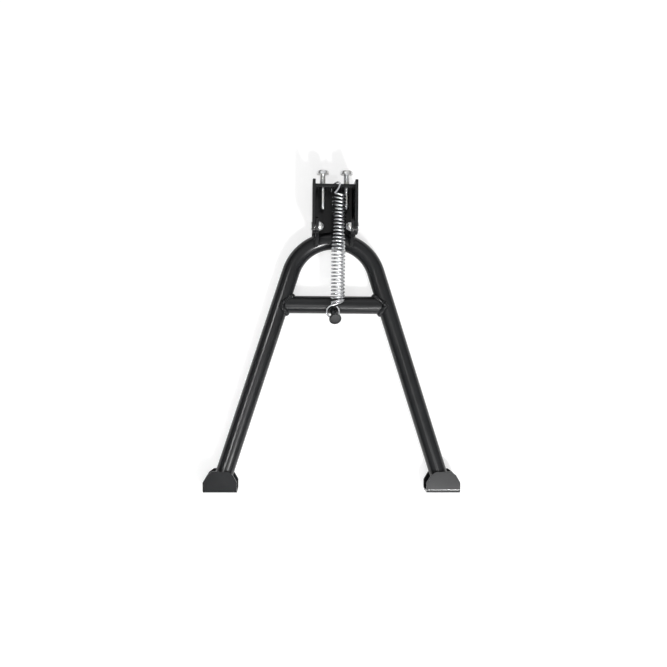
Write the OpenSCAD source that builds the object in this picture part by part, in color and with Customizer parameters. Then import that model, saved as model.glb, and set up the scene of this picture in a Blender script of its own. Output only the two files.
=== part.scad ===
// Two-legged kickstand for a bicycle trailer, shown folded down.
// A folded steel bracket bolts under the trailer frame. The bent tube frame hangs from two
// separate rivets, so the return spring can pass between them from the bracket's seat plate
// to a headed peg on the crossbar. The spring line runs behind the pivots, which pulls the
// arch of the tube up against the bracket's back web.
// Millimetres. X to the right, Y to the back, Z up. The origin is on top of the seat plate,
// midway between the two clamp bolts.

/* [Mount bracket] */
// Outer width of the folded bracket
bracket_w = 45; // [43:1:60]
// Sheet thickness of the bracket and the yoke ears
sheet_t = 3; // [2:0.5:4]
// Distance from the bolt line to the outside of the back web
bracket_back = 20; // [19:0.5:24]
// Height of the rim above the seat plate
rim_h = 2.4; // [1:0.2:6]
// Outside bend radius of the bracket
bracket_bend_r = 4.5; // [4:0.5:6]
// Length of the back web below the seat plate
web_drop = 50.5; // [48:0.5:54]

/* [Seat plate] */
// Thickness of the seat plate
seat_t = 3.5; // [3:0.25:5]
// Distance from the bolt line to the plate's front edge
seat_front = 10; // [9:0.25:12]
// Width of the strip between the front edge and the spring's hole
hook_strip = 3.4; // [2.6:0.2:3.8]
// Diameter of the spring's hole
hook_hole_d = 5.8; // [5.6:0.1:6.6]
// Sideways place of the spring's hole
hook_hole_x = -1.6; // [-2:0.1:-1]

/* [Clamp bolts] */
// Thread diameter of the clamp bolts
bolt_d = 6; // [5:0.5:8]
// Distance between the two bolts
bolt_spacing = 24; // [22:0.5:26]
// Length of a bolt under its head
bolt_len = 35; // [25:5:45]
// How far the under side of the heads stands above the seat plate
bolt_standoff = 10.7; // [4:0.1:16]
// Diameter of a pan head
bolt_head_d = 12.4; // [11:0.2:14]
// Height of a pan head
bolt_head_h = 4.6; // [4:0.2:6]

/* [Pivot] */
// Distance of the pivot in front of the bolt line
pivot_fwd = 14; // [12:0.5:18]
// Distance of the pivot below the seat plate's top
pivot_drop = 43; // [42:0.5:46]
// Radius of the bracket's walls and the ears round the pivot
pivot_lug_r = 9; // [7.5:0.5:9.5]
// Diameter of a pivot rivet's shank
rivet_d = 6; // [5:0.5:7]
// Diameter of the rivet's round inner head
rivet_head_d = 9; // [8:0.5:10]
// Height of the rivet's round inner head
rivet_head_h = 4.35; // [3:0.05:4.5]
// Diameter of the rivet's flat outer head
rivet_cap_d = 8; // [7.5:0.5:10]
// Height of the rivet's flat outer head
rivet_cap_h = 1.2; // [0.8:0.1:2]
// Diameter of the washer under the inner head
washer_d = 10; // [9.5:0.5:12]
// Thickness of the washer
washer_t = 1; // [0.6:0.1:1.2]

/* [Leg frame] */
// Outside diameter of the leg tube
tube_d = 18; // [16:0.5:19]
// Wall of the leg tube and the crossbar
tube_wall = 2; // [1.2:0.1:3]
// Distance of the tube's middle plane behind the bolt line
tube_back = 11; // [10.5:0.5:12]
// Radius of the arch, to the tube's centre line
arch_r = 45.5; // [44:0.5:48]
// Depth of the crown's centre line below the seat plate's top
crown_drop = 54.9; // [54.5:0.1:57.5]
// Outward lean of each leg, in degrees
splay = 17.8; // [12:0.1:20]
// Height of the seat plate's top above the ground
stand_h = 310.5; // [260:0.5:360]
// Outside diameter of the crossbar
crossbar_d = 18; // [16:0.5:19]
// Distance of the crossbar's axis below the seat plate's top
crossbar_drop = 120.2; // [119:0.2:123]

/* [Spring peg] */
// Diameter of the peg's shank
peg_d = 6; // [5:0.25:6.5]
// Diameter of the peg's head
peg_head_d = 12.3; // [10:0.1:14]
// Thickness of the peg's head
peg_head_t = 2.5; // [1.5:0.1:4]
// Distance from the crossbar's axis to the middle of the head
peg_reach = 24.3; // [22:0.1:28]
// Angle of the peg below the horizontal, in degrees
peg_pitch = 37; // [33:1:42]
// Sideways lean of the peg, in degrees
peg_lean = 8; // [0:1:10]
// Sideways place of the peg's root on the crossbar
peg_root_x = -2.1; // [-3:0.1:0]

/* [Feet] */
// Width of a folded shoe
foot_w = 34.3; // [30:0.1:44]
// Height of a shoe
foot_h = 21.8; // [18:0.1:28]
// Height of a shoe's upright ends
foot_side_h = 10.7; // [8:0.1:13]
// Width of a shoe's top edge
foot_top_w = 16; // [12:0.5:20]
// Sheet thickness of a shoe
foot_t = 2.5; // [1.5:0.25:4]
// Outside bend radius of a shoe
foot_bend_r = 4; // [4:0.25:6]
// How far a shoe's middle lies inside the leg's axis at the ground
foot_inset = 2.3; // [0:0.1:4]

/* [Return spring] */
// Wire diameter
wire_d = 1.9; // [1.4:0.1:2]
// Outside diameter of the coil and of its two eyes
spring_od = 14.4; // [13.6:0.1:14.8]
// Number of whole turns between the two eyes
spring_turns = 30; // [20:1:36]
// Depth of the coil's first turn below the seat plate's top
coil_top_drop = 11.2; // [11:0.1:13]
// Sideways place of the coil's axis at the top
coil_top_x = 4.4; // [4:0.1:4.8]
// Distance of the coil's axis in front of the bolt line at the top
coil_top_fwd = 9.8; // [9.4:0.1:10.4]
// Sideways place of the coil's axis at the bottom
coil_end_x = 3.5; // [3:0.1:4]
// Sideways lean of the first turn, in degrees
lean_top = -5; // [-8:1:0]
// Sideways lean of the last turn, in degrees
lean_end = 20; // [0:1:22]
// How far each turn is tipped up at the front, in degrees
turn_tip = 6; // [0:1:8]

/* [Clearances] */
// Radial running clearance of the rivets in the ears
run_gap = 0.08; // [0.02:0.01:0.1]
// Radial clearance of a shank in a fixed hole
hole_gap = 0.05; // [0.02:0.01:0.1]
// Side gap between the ears and the bracket's walls
ear_gap = 0.3; // [0.2:0.05:0.6]
// Gap between welded pieces that meet on a curve
weld_gap = 0.1; // [0.05:0.01:0.2]
// Gap between the arch and the back web that stops it
stop_gap = 0.3; // [0.2:0.05:0.6]
// Gap between the spring's wire and what it hooks on
hook_gap = 0.15; // [0.1:0.05:0.3]

/* [Hidden] */
$fn = 96;
LEFT = -1;
RIGHT = 1;
POWDER_BLACK = [0.13, 0.135, 0.14];
ZINC = [0.78, 0.79, 0.8];
cut = 1;                 // how far a cutting tool runs past the face it opens

// Bracket
half_in = bracket_w / 2 - sheet_t;
bracket_front = pivot_fwd + pivot_lug_r;
wall_drop = pivot_drop + 3;                  // the walls' depth where they meet the web
lug_tail_r = 4;                              // corner radius where a lug runs out at the back
web_in = bracket_back - sheet_t;
pivot = [-pivot_fwd, -pivot_drop];           // in the Y-Z plane

// Leg frame
tube_r = tube_d / 2;
bore_r = tube_r - tube_wall;
arch_drop = crown_drop + arch_r;             // depth of the arch's centre
arch_sweep = 90 - splay;                     // each side, from the crown
crown_overrun = 10;                          // degrees that a half arch runs past the crown
sole_z = -stand_h + foot_bend_r;             // the leg's end, clear of the shoe's inside bends
function leg_x(z) = arch_r / cos(splay) + (-arch_drop - z) * tan(splay);

// Shoes: the corner between a shoe's upright end and its top, as shares of the way
shoulder_in = 0.48;
shoulder_up = 0.68;

// Ears
ear_in = half_in - ear_gap - sheet_t;
ear_x = ear_in + sheet_t / 2;
ear_foot_step = 2;                           // how far the tube shows past the ear's foot
ear_foot_r = tube_r - ear_foot_step;
ear_foot = [tube_back, -arch_drop + sqrt(pow(arch_r, 2) - pow(ear_x, 2))];

// Rivets, measured outwards from the middle of the bracket
washer_side_gap = 0.05;
washer_x = ear_in - washer_side_gap - washer_t;

// Spring
wire_r = wire_d / 2;
coil_r = spring_od / 2 - wire_r;
wire_sides = 8;
turn_steps = 12;
eye_steps = 16;
blend_steps = 6;
coil_start_a = 230;                          // where the wire joins the top eye
coil_end_a = 80;                             // where the wire joins the bottom eye
coil_sweep = 360 * spring_turns + 360 + coil_end_a - coil_start_a;
lean_turns = 3;                              // turns over which an end's lean fades out

// Top eye: hooked round the strip of the seat plate in front of the hole
top_eye_x = 0.65;
top_eye_behind = 1.5;                        // its middle behind the plate's front edge
top_eye_rise = 3.2;                          // top of the eye above the seat plate
top_eye_turn = 35;                           // from fore and aft towards the right
top_eye_lean = 19;                           // top of the eye towards the right
eye_out = [sin(top_eye_turn), -cos(top_eye_turn), 0];
eye_up = unit([tan(top_eye_lean), tan(top_eye_lean) * tan(top_eye_turn), 1]);
top_eye_z = top_eye_rise - wire_r - coil_r * eye_up[2];
top_eye = [top_eye_x, -seat_front + top_eye_behind, top_eye_z];
top_eye_from = 218;
top_eye_to = -20;

// Bottom eye: upright ring round the peg, just in front of the crossbar
bar_clear = 0.65;                            // between the eye and the crossbar
peg_clear = 2 * hook_gap;                    // between the eye and the peg's shank
peg_shift = -0.5;                            // how far the eye's middle hangs off the peg's
eye_front = crossbar_d / 2 + wire_r + bar_clear;
eye_seat = peg_d / 2 + wire_r + peg_clear;   // wire centre below the peg's axis
eye_bottom_z = -(eye_seat + eye_front * sin(peg_pitch)) / cos(peg_pitch);
peg_at_eye = eye_front / cos(peg_pitch) * tan(peg_lean) + peg_root_x;
end_eye = [peg_at_eye + peg_shift, tube_back - eye_front, -crossbar_drop + eye_bottom_z + coil_r];
end_eye_from = 110;
end_eye_to = 415;

// Coil: its axis from the first turn to the last, which passes in front of the bottom eye
coil_past_eye = 0.35;                        // clear of the eye's plane, forwards
coil_above_eye = wire_d - 0.15;              // last turn's axis above the top of the eye
coil_end = [coil_end_x, end_eye[1] - coil_r - coil_past_eye,
    end_eye[2] + coil_r + coil_above_eye];
coil_top = [coil_top_x, -coil_top_fwd, -coil_top_drop];
blend_pull = 2.5;                            // handle length of the bends into the eyes

function unit(v) = v / norm(v);
function mix(a, b, t) = a + (b - a) * t;
function ease(t) = let (c = max(0, min(1, t))) c * c * (3 - 2 * c);

// Extrudes an outline drawn in Y and Z along X, from x0 to x1
module along_x(x0, x1) {
    translate([x0, 0, 0])
        rotate([90, 0, 90])
            linear_extrude(x1 - x0)
                children();
}

// Extrudes an outline drawn in X and Z along Y, from y0 to y1
module along_y(y0, y1) {
    translate([0, y1, 0])
        rotate([90, 0, 0])
            linear_extrude(y1 - y0)
                children();
}

// Cylinder along X, from x0 to x1, through a point given in Y and Z
module rod_x(r, x0, x1, at = [0, 0]) {
    translate([x0, at[0], at[1]])
        rotate([0, 90, 0])
            cylinder(r = r, h = x1 - x0);
}

// Rectangle from a corner to a corner
module box_2d(low, high) {
    translate(low)
        square(high - low);
}

// Open channel in plan: a floor of the channel at the far side and two arms, bent with radius r
module channel_2d(half, depth, t, r) {
    difference() {
        union() {
            box_2d([-half, r], [half, depth]);
            box_2d([-half + r, 0], [half - r, depth]);
            for (side = [-1, 1])
                translate([side * (half - r), r])
                    circle(r);
        }
        box_2d([-half + t, r], [half - t, depth + cut]);
        box_2d([-half + r, t], [half - r, depth + cut]);
        for (side = [-1, 1])
            translate([side * (half - r), r])
                circle(r - t);
    }
}

// Points of an arc of radius r about c, from one angle to another
function arc(c, r, from, to, steps = 24) = [
    for (i = [0 : steps])
        let (a = mix(from, to, i / steps))
        c + r * [cos(a), sin(a)]];

// Outline that runs round a lug at p and narrows to a foot at q, drawn in Y and Z
module link_2d(p, rp, q, rq) {
    run = q - p;
    along = atan2(run[1], run[0]);
    off = acos((rp - rq) / norm(run));
    polygon(concat(
        arc(p, rp, along + off, along + 360 - off),
        [q + rq * [cos(along - off), sin(along - off)],
         q + rq * [cos(along + off), sin(along + off)]]));
}

// Arch of radius r about the tube's centre line, one leg's sweep on each side of the crown
module arch_bar(r) {
    translate([0, tube_back, -arch_drop])
        rotate([90, 0, 0])
            rotate([0, 0, splay])
                rotate_extrude(angle = 2 * arch_sweep)
                    translate([arch_r, 0])
                        circle(r);
}

// Moves what is drawn below the end of the right half of the arch into place
module on_leg(side) {
    mirror([side < 0 ? 1 : 0, 0, 0])
        translate([0, tube_back, -arch_drop])
            rotate([0, -splay, 0])
                children();
}

// One straight leg of radius r, from the end of the arch to below the ground
module leg_bar(side, r) {
    on_leg(side)
        translate([arch_r, 0, -stand_h])
            cylinder(r = r, h = stand_h);
}

// Ring section of the leg tube
module tube_2d() {
    difference() {
        circle(tube_r);
        circle(bore_r);
    }
}

// Half of the bent tube: half the arch and one leg, cut at the crown and above the sole
module half_tube(side) {
    difference() {
        on_leg(side) {
            rotate([90, 0, 0])
                rotate_extrude(angle = arch_sweep + crown_overrun)
                    translate([arch_r, 0])
                        tube_2d();
            translate([arch_r, 0, -stand_h])
                linear_extrude(stand_h)
                    tube_2d();
        }
        translate([side < 0 ? 0 : -stand_h, -stand_h / 2, -1.5 * stand_h])
            cube([stand_h, stand_h, 2 * stand_h]);
        translate([-stand_h, -stand_h / 2, sole_z - stand_h])
            cube([2 * stand_h, stand_h, stand_h]);
    }
}

// Round-edged head of a pan-head bolt, standing on Z = 0
module pan_head(d, h, edge_r) {
    rotate_extrude()
        union() {
            square([d / 2, h - edge_r]);
            square([d / 2 - edge_r, h]);
            intersection() {
                translate([d / 2 - edge_r, h - edge_r])
                    circle(edge_r);
                square([d / 2, h]);
            }
        }
}

// Cross recess in the top of a bolt's head
module cross_recess(size, width, depth) {
    for (turn = [0, 90])
        rotate([0, 0, turn])
            translate([-size / 2, -width / 2, -depth])
                cube([size, width, depth + cut]);
}

// One of the two bolts that clamp the bracket to the frame
module clamp_bolt(side) {
    edge_r = bolt_head_h / 2;
    recess_w = bolt_d / 5;
    recess_depth = bolt_head_h / 2;
    color(ZINC)
        translate([side * bolt_spacing / 2, 0, bolt_standoff])
            difference() {
                union() {
                    pan_head(bolt_head_d, bolt_head_h, edge_r);
                    translate([0, 0, -bolt_len])
                        cylinder(d = bolt_d, h = bolt_len);
                }
                translate([0, 0, bolt_head_h])
                    cross_recess(bolt_d, recess_w, recess_depth);
            }
}

// Side outline of the bracket's walls and web, drawn in Y and Z
module bracket_side_2d() {
    box_2d([-bracket_front, pivot[1]], [bracket_back, rim_h]);
    box_2d([web_in - bracket_bend_r, -wall_drop], [bracket_back, pivot[1]]);
    link_2d(pivot, pivot_lug_r, [web_in - bracket_bend_r, -wall_drop + lug_tail_r], lug_tail_r);
}

// Folded bracket: a back web and two side walls with a lug round each pivot
module mount_bracket() {
    color(POWDER_BLACK)
        difference() {
            translate([0, bracket_back, -web_drop])
                mirror([0, 1, 0])
                    linear_extrude(web_drop + rim_h)
                        channel_2d(bracket_w / 2, bracket_back + bracket_front,
                            sheet_t, bracket_bend_r);
            for (side = [LEFT, RIGHT])
                mirror([side < 0 ? 1 : 0, 0, 0])
                    difference() {
                        along_x(half_in - cut, bracket_w / 2 + cut)
                            box_2d([-bracket_front - cut, -web_drop - cut],
                                [bracket_back - bracket_bend_r, rim_h + cut]);
                        along_x(half_in - 2 * cut, bracket_w / 2 + 2 * cut)
                            bracket_side_2d();
                    }
            arch_bar(tube_r + stop_gap);
            rod_x(rivet_d / 2 + hole_gap, -bracket_w, bracket_w, pivot);
        }
}

// Seat plate, welded between the walls, with two tapped holes and the spring's hole
module saddle_plate() {
    corner = bracket_bend_r - sheet_t + weld_gap;
    half = half_in - hole_gap;
    back = web_in - hole_gap;
    color(POWDER_BLACK)
        translate([0, 0, -seat_t])
            linear_extrude(seat_t)
                difference() {
                    union() {
                        box_2d([-half, -seat_front], [half, back - corner]);
                        box_2d([-half + corner, -seat_front], [half - corner, back]);
                        for (side = [LEFT, RIGHT])
                            translate([side * (half - corner), back - corner])
                                circle(corner);
                    }
                    for (side = [LEFT, RIGHT])
                        translate([side * bolt_spacing / 2, 0])
                            circle(bolt_d / 2 + hole_gap);
                    translate([hook_hole_x, -seat_front + hook_strip + hook_hole_d / 2])
                        circle(d = hook_hole_d);
                }
}

// Rivet that carries one ear: round head inside, shank through ear and wall, flat head outside
module pivot_rivet(side) {
    ball_r = (pow(rivet_head_d / 2, 2) + pow(rivet_head_h, 2)) / (2 * rivet_head_h);
    color(ZINC)
        mirror([side < 0 ? 1 : 0, 0, 0]) {
            rod_x(rivet_d / 2, washer_x, bracket_w / 2 + rivet_cap_h / 2, pivot);
            rod_x(rivet_cap_d / 2, bracket_w / 2, bracket_w / 2 + rivet_cap_h, pivot);
            intersection() {
                translate([washer_x - rivet_head_h + ball_r, pivot[0], pivot[1]])
                    sphere(ball_r);
                rod_x(rivet_head_d, washer_x - rivet_head_h - cut, washer_x, pivot);
            }
        }
}

// Plain washer between the ear and the rivet's round head
module pivot_washer(side) {
    color(ZINC)
        mirror([side < 0 ? 1 : 0, 0, 0])
            difference() {
                rod_x(washer_d / 2, washer_x, washer_x + washer_t, pivot);
                rod_x(rivet_d / 2 + run_gap, washer_x - cut, washer_x + washer_t + cut, pivot);
            }
}

// Flat ear, drilled for its rivet and coped onto the arch
module yoke_ear(side) {
    color(POWDER_BLACK)
        mirror([side < 0 ? 1 : 0, 0, 0])
            difference() {
                along_x(ear_in, ear_in + sheet_t)
                    link_2d(pivot, pivot_lug_r, ear_foot, ear_foot_r);
                arch_bar(tube_r + weld_gap);
                rod_x(rivet_d / 2 + run_gap, ear_in - cut, ear_in + sheet_t + cut, pivot);
            }
}

// Leg frame: one hollow tube, bent to an arch with two splayed legs
module leg_tube() {
    color(POWDER_BLACK)
        for (side = [LEFT, RIGHT])
            half_tube(side);
}

// Hollow crossbar, coped to both legs
module crossbar() {
    half = leg_x(-crossbar_drop);
    axis = [tube_back, -crossbar_drop];
    color(POWDER_BLACK)
        difference() {
            rod_x(crossbar_d / 2, -half, half, axis);
            rod_x(crossbar_d / 2 - tube_wall, -half - cut, half + cut, axis);
            for (side = [LEFT, RIGHT])
                leg_bar(side, tube_r + weld_gap);
        }
}

// Headed peg for the spring's bottom eye, coped to the crossbar
module spring_peg() {
    head_edge_r = peg_head_t / 3;
    color(POWDER_BLACK)
        difference() {
            translate([peg_root_x, tube_back, -crossbar_drop])
                rotate([90 + peg_pitch, 0, 0])
                    rotate([0, peg_lean, 0]) {
                        cylinder(d = peg_d, h = peg_reach);
                        translate([0, 0, peg_reach - peg_head_t / 2])
                            pan_head(peg_head_d, peg_head_t, head_edge_r);
                    }
            rod_x(crossbar_d / 2 + weld_gap, -tube_d, tube_d, [tube_back, -crossbar_drop]);
        }
}

// Front outline of a shoe, drawn in X and Z from its middle and the ground
module foot_2d() {
    side = foot_w / 2;
    top = foot_top_w / 2;
    shoulder_x = mix(side, top, shoulder_in);
    shoulder_z = mix(foot_side_h, foot_h, shoulder_up);
    polygon([
        [-side, 0], [side, 0], [side, foot_side_h],
        [shoulder_x, shoulder_z], [top, foot_h],
        [-top, foot_h], [-shoulder_x, shoulder_z],
        [-side, foot_side_h]]);
}

// Folded shoe that the leg's end stands in
module foot(side) {
    half = tube_r + weld_gap + foot_t;
    color(POWDER_BLACK)
        translate([side * (leg_x(-stand_h) - foot_inset), tube_back, -stand_h])
            intersection() {
                along_x(-foot_w / 2, foot_w / 2)
                    channel_2d(half, foot_h, foot_t, foot_bend_r);
                along_y(-half - cut, half + cut)
                    foot_2d();
            }
}

// Point on the coil at an angle from its first point; going down it turns anticlockwise
function coil_point(turned) =
    let (t = turned / coil_sweep,
        a = coil_start_a + turned,
        from_end = (coil_sweep - turned) / 360,
        lean = lean_top * ease(1 - turned / 360 / lean_turns)
            + lean_end * ease(1 - from_end / lean_turns),
        tip = turn_tip * ease(turned / 360) * ease(from_end),
        across = coil_r * cos(a),
        back = coil_r * sin(a))
    mix(coil_top, coil_end, t) + [across, back, across * tan(lean) - back * tan(tip)];

// Points on the two eyes, by the angle round the ring
function top_eye_point(a) = top_eye + coil_r * (cos(a) * eye_out + sin(a) * eye_up);
function end_eye_point(a) = end_eye + coil_r * [cos(a), 0, sin(a)];

// Cubic bend from p to q, which leaves along u and arrives along v, without its end points
function bend(p, u, q, v) = [
    for (i = [1 : blend_steps - 1])
        let (t = i / blend_steps, s = 1 - t)
        s * s * s * p + 3 * s * s * t * (p + blend_pull * u)
            + 3 * s * t * t * (q - blend_pull * v) + t * t * t * q];

// Whole centre line of the wire, from the top eye's cut end to the bottom eye's cut end
function wire_path() =
    let (coil_steps = round(coil_sweep / 360 * turn_steps),
        top = [for (i = [0 : eye_steps])
            top_eye_point(mix(top_eye_from, top_eye_to, i / eye_steps))],
        coil = [for (i = [0 : coil_steps]) coil_point(coil_sweep * i / coil_steps)],
        end = [for (i = [0 : eye_steps])
            end_eye_point(mix(end_eye_from, end_eye_to, i / eye_steps))],
        top_dir = unit(top_eye_point(top_eye_to - 1) - top_eye_point(top_eye_to)),
        in_dir = unit(coil_point(1) - coil_point(0)),
        out_dir = unit(coil_point(coil_sweep) - coil_point(coil_sweep - 1)),
        end_dir = unit(end_eye_point(end_eye_from + 1) - end_eye_point(end_eye_from)))
    concat(top, bend(top[eye_steps], top_dir, coil[0], in_dir), coil,
        bend(coil[coil_steps], out_dir, end[0], end_dir), end);

// Direction of a path at its point i
function heading(path, i) =
    unit(path[min(i + 1, len(path) - 1)] - path[max(i - 1, 0)]);

// The part of n that is square to the direction t
function square_to(n, t) = unit(n - t * (n * t));

// One side direction for each point, carried along the path so that the wire doesn't twist
function side_dirs(path) = [
    for (i = 0, n = square_to([1, 0, 0], heading(path, 0));
        i < len(path);
        i = i + 1, n = square_to(n, heading(path, min(i, len(path) - 1))))
        square_to(n, heading(path, i))];

// Round wire swept along the path
module wire(path, r) {
    sides = side_dirs(path);
    last = len(path) - 1;
    points = [
        for (i = [0 : last])
            let (n = sides[i], b = cross(heading(path, i), n))
            for (k = [0 : wire_sides - 1])
                let (a = 360 * k / wire_sides)
                path[i] + r * (cos(a) * n + sin(a) * b)];
    skin = [
        for (i = [0 : last - 1])
            for (k = [0 : wire_sides - 1])
                let (next = (k + 1) % wire_sides, low = i * wire_sides, high = low + wire_sides)
                [low + k, high + k, high + next, low + next]];
    start_cap = [[for (k = [0 : wire_sides - 1]) k]];
    end_cap = [[for (k = [wire_sides - 1 : -1 : 0]) last * wire_sides + k]];
    polyhedron(points = points, faces = concat(skin, start_cap, end_cap), convexity = 20);
}

// Return spring: a close coil with an eye at each end
module return_spring() {
    color(ZINC)
        wire(wire_path(), wire_r);
}

mount_bracket();
saddle_plate();
clamp_bolt(LEFT);  // clamp_bolt_left
clamp_bolt(RIGHT);  // clamp_bolt_right
pivot_rivet(LEFT);  // pivot_rivet_left
pivot_rivet(RIGHT);  // pivot_rivet_right
pivot_washer(LEFT);  // pivot_washer_left
pivot_washer(RIGHT);  // pivot_washer_right
yoke_ear(LEFT);  // yoke_ear_left
yoke_ear(RIGHT);  // yoke_ear_right
leg_tube();
crossbar();
spring_peg();
foot(LEFT);  // foot_left
foot(RIGHT);  // foot_right
return_spring();
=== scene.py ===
"""Two-legged kickstand for a bicycle trailer: the looks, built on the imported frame.

Metres. X to the right, Y to the back, Z up, and the origin on top of the seat plate, midway
between the two clamp bolts. Sizes are written in millimetres times MM.
"""

import logging
import math
from dataclasses import dataclass, field, replace
from enum import Enum
from typing import Callable, ClassVar, Sequence

import bmesh
import bpy
import numpy as np
from bpy.types import ID, Material, Mesh, Node, NodeSocket as Socket, Object, World
from mathutils import Matrix, Vector


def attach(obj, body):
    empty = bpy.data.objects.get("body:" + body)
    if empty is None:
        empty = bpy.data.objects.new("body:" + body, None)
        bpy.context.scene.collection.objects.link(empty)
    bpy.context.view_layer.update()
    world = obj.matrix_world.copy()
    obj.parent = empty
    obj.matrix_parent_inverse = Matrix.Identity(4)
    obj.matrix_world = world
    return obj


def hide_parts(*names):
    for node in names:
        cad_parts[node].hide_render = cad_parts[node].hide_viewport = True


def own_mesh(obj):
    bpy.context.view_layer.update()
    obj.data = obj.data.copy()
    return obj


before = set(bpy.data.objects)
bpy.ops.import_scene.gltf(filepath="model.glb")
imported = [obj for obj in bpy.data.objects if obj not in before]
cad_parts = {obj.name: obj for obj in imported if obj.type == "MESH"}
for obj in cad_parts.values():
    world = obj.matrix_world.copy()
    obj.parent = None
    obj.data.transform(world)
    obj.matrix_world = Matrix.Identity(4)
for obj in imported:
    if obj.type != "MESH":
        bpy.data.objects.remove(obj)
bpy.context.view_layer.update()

LOG = logging.getLogger("kickstand")
MM = 0.001
TURN = 2 * math.pi
BAR_R = 9 * MM
BAR_Y, BAR_Z = 11 * MM, -120.2 * MM
PEG_ROOT = (-2.1 * MM, BAR_Y, BAR_Z)
PEG_R = 3 * MM
PEG_PITCH, PEG_LEAN = math.radians(37), math.radians(8)
MERGE_GAP = 2e-6
FLAT_ANGLE, SHARP_ANGLE, BEVEL_ANGLE = (math.radians(deg) for deg in (0.8, 30, 35))


class Side(Enum):
    """Which side of the stand a piece is on."""

    LEFT = -1
    RIGHT = 1


class Body(Enum):
    """The moving bodies of the frame."""

    BRACKET = "bracket"
    LEGS = "legs"
    SPRING = "spring"


class Slot(Enum):
    """The record's material slots."""

    COAT = "powder_coat"
    ZINC = "zinc_fastener"
    WIRE = "spring_zinc"


# Surfaces


@dataclass(frozen=True)
class Skin:
    """A closed surface: points, faces of four and of three sides, and a pattern vector a point."""

    points: np.ndarray
    quads: np.ndarray
    tris: np.ndarray
    pattern: np.ndarray

    def outward(self) -> "Skin":
        """The same surface with its faces outwards: the signed volume of its cones is positive.

        Returns:
            The skin itself, or a copy with every face turned round.
        """
        halves = np.concatenate([self.quads[:, [0, 1, 2]], self.quads[:, [0, 2, 3]], self.tris])
        a, b, c = (self.points[halves[:, k]] for k in range(3))
        if np.einsum("ij,ij->", a, np.cross(b, c)) >= 0:
            return self
        return Skin(self.points, self.quads[:, ::-1], self.tris[:, ::-1], self.pattern)

    @staticmethod
    def join(skins: Sequence["Skin"]) -> "Skin":
        """Several closed surfaces as one.

        Args:
            skins: The surfaces, each already outward.

        Returns:
            One skin with their points one after another.
        """
        starts = np.cumsum([0] + [len(s.points) for s in skins[:-1]])
        return Skin(
            np.concatenate([s.points for s in skins]),
            np.concatenate([s.quads + k for s, k in zip(skins, starts)]),
            np.concatenate([s.tris + k for s, k in zip(skins, starts)]),
            np.concatenate([s.pattern for s in skins]),
        )


def unit(v: np.ndarray) -> np.ndarray:
    """Vectors along the last axis, each divided by its length."""
    return v / np.linalg.norm(v, axis=-1, keepdims=True)


def ease(t: np.ndarray) -> np.ndarray:
    """Smooth step: three t squared less two t cubed, with t held between 0 and 1."""
    c = np.clip(t, 0, 1)
    return c * c * (3 - 2 * c)


def circle(count: int) -> np.ndarray:
    """Angles that share out a turn evenly."""
    return np.arange(count) * TURN / count


def lengths(path: np.ndarray) -> np.ndarray:
    """Length along a path up to each of its points."""
    return np.concatenate([[0], np.cumsum(np.linalg.norm(np.diff(path, axis=0), axis=1))])


def square_pair(axis: np.ndarray) -> tuple[np.ndarray, np.ndarray]:
    """Two unit vectors square to an axis and to each other.

    Args:
        axis: A unit vector.

    Returns:
        The part of the least parallel coordinate axis that is square to it, and their cross
        product.
    """
    spare = np.eye(3)[np.argmin(np.abs(axis))]
    u = unit(spare - axis * (spare @ axis))
    return u, np.cross(axis, u)


def grid_skin(
    grid: np.ndarray,
    wrap_rows: bool = False,
    first_pole: np.ndarray | None = None,
    last_pole: np.ndarray | None = None,
    pattern: np.ndarray | None = None,
) -> Skin:
    """Closes a grid of rings into a surface. Face (i, j) joins points j and j + 1 of rings i and
    i + 1.

    Args:
        grid: Points, as rings by columns by 3. Columns always wrap round.
        wrap_rows: Joins the last ring to the first.
        first_pole: A point that closes the first ring with a fan.
        last_pole: A point that closes the last ring with a fan.
        pattern: A vector for each grid point that the finish may read.

    Returns:
        The surface, outward.
    """
    rows, cols = grid.shape[:2]
    r = np.arange(rows if wrap_rows else rows - 1)[:, None]
    c = np.arange(cols)[None, :]
    below, beside = (r + 1) % rows, (c + 1) % cols
    corners = [r * cols + c, r * cols + beside, below * cols + beside, below * cols + c]
    quads = np.stack(corners, -1).reshape(-1, 4)
    points = [grid.reshape(-1, 3)]
    vectors = [np.zeros_like(points[0]) if pattern is None else pattern.reshape(-1, 3)]
    ring, after = np.arange(cols), (np.arange(cols) + 1) % cols
    tris, total = [np.zeros((0, 3), int)], rows * cols
    for pole, start, turned in ((first_pole, 0, True), (last_pole, (rows - 1) * cols, False)):
        if pole is None:
            continue
        pair = [start + after, start + ring] if turned else [start + ring, start + after]
        tris.append(np.stack([np.full(cols, total), *pair], -1))
        points.append(np.asarray(pole, float)[None])
        vectors.append(vectors[0][start : start + 1])
        total += 1
    points, tris, vectors = (np.concatenate(part) for part in (points, tris, vectors))
    return Skin(points, quads, tris, vectors).outward()


def rounded(profile: Sequence[tuple[float, float]], radius: float) -> np.ndarray:
    """A profile with its inner corners rounded by quadratic curves.

    Each corner p gives the curve (1-t)^2 a + 2t(1-t) p + t^2 b, where a and b lie on the two
    edges at the radius from p, or at 45% of a shorter edge.

    Args:
        profile: Corner points as (radius, height).
        radius: How far from a corner its curve starts.

    Returns:
        The points of the rounded profile.
    """
    p = np.asarray(profile, float)
    mid = p[1:-1]
    back, on = p[:-2] - mid, p[2:] - mid
    shares = [np.minimum(radius / np.linalg.norm(v, axis=1), 0.45)[:, None] for v in (back, on)]
    a, b = mid + back * shares[0], mid + on * shares[1]
    t = np.linspace(0, 1, 5)[None, :, None]
    curve = (1 - t) ** 2 * a[:, None] + 2 * t * (1 - t) * mid[:, None] + t**2 * b[:, None]
    return np.concatenate([p[:1], curve.reshape(-1, 2), p[-1:]])


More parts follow.
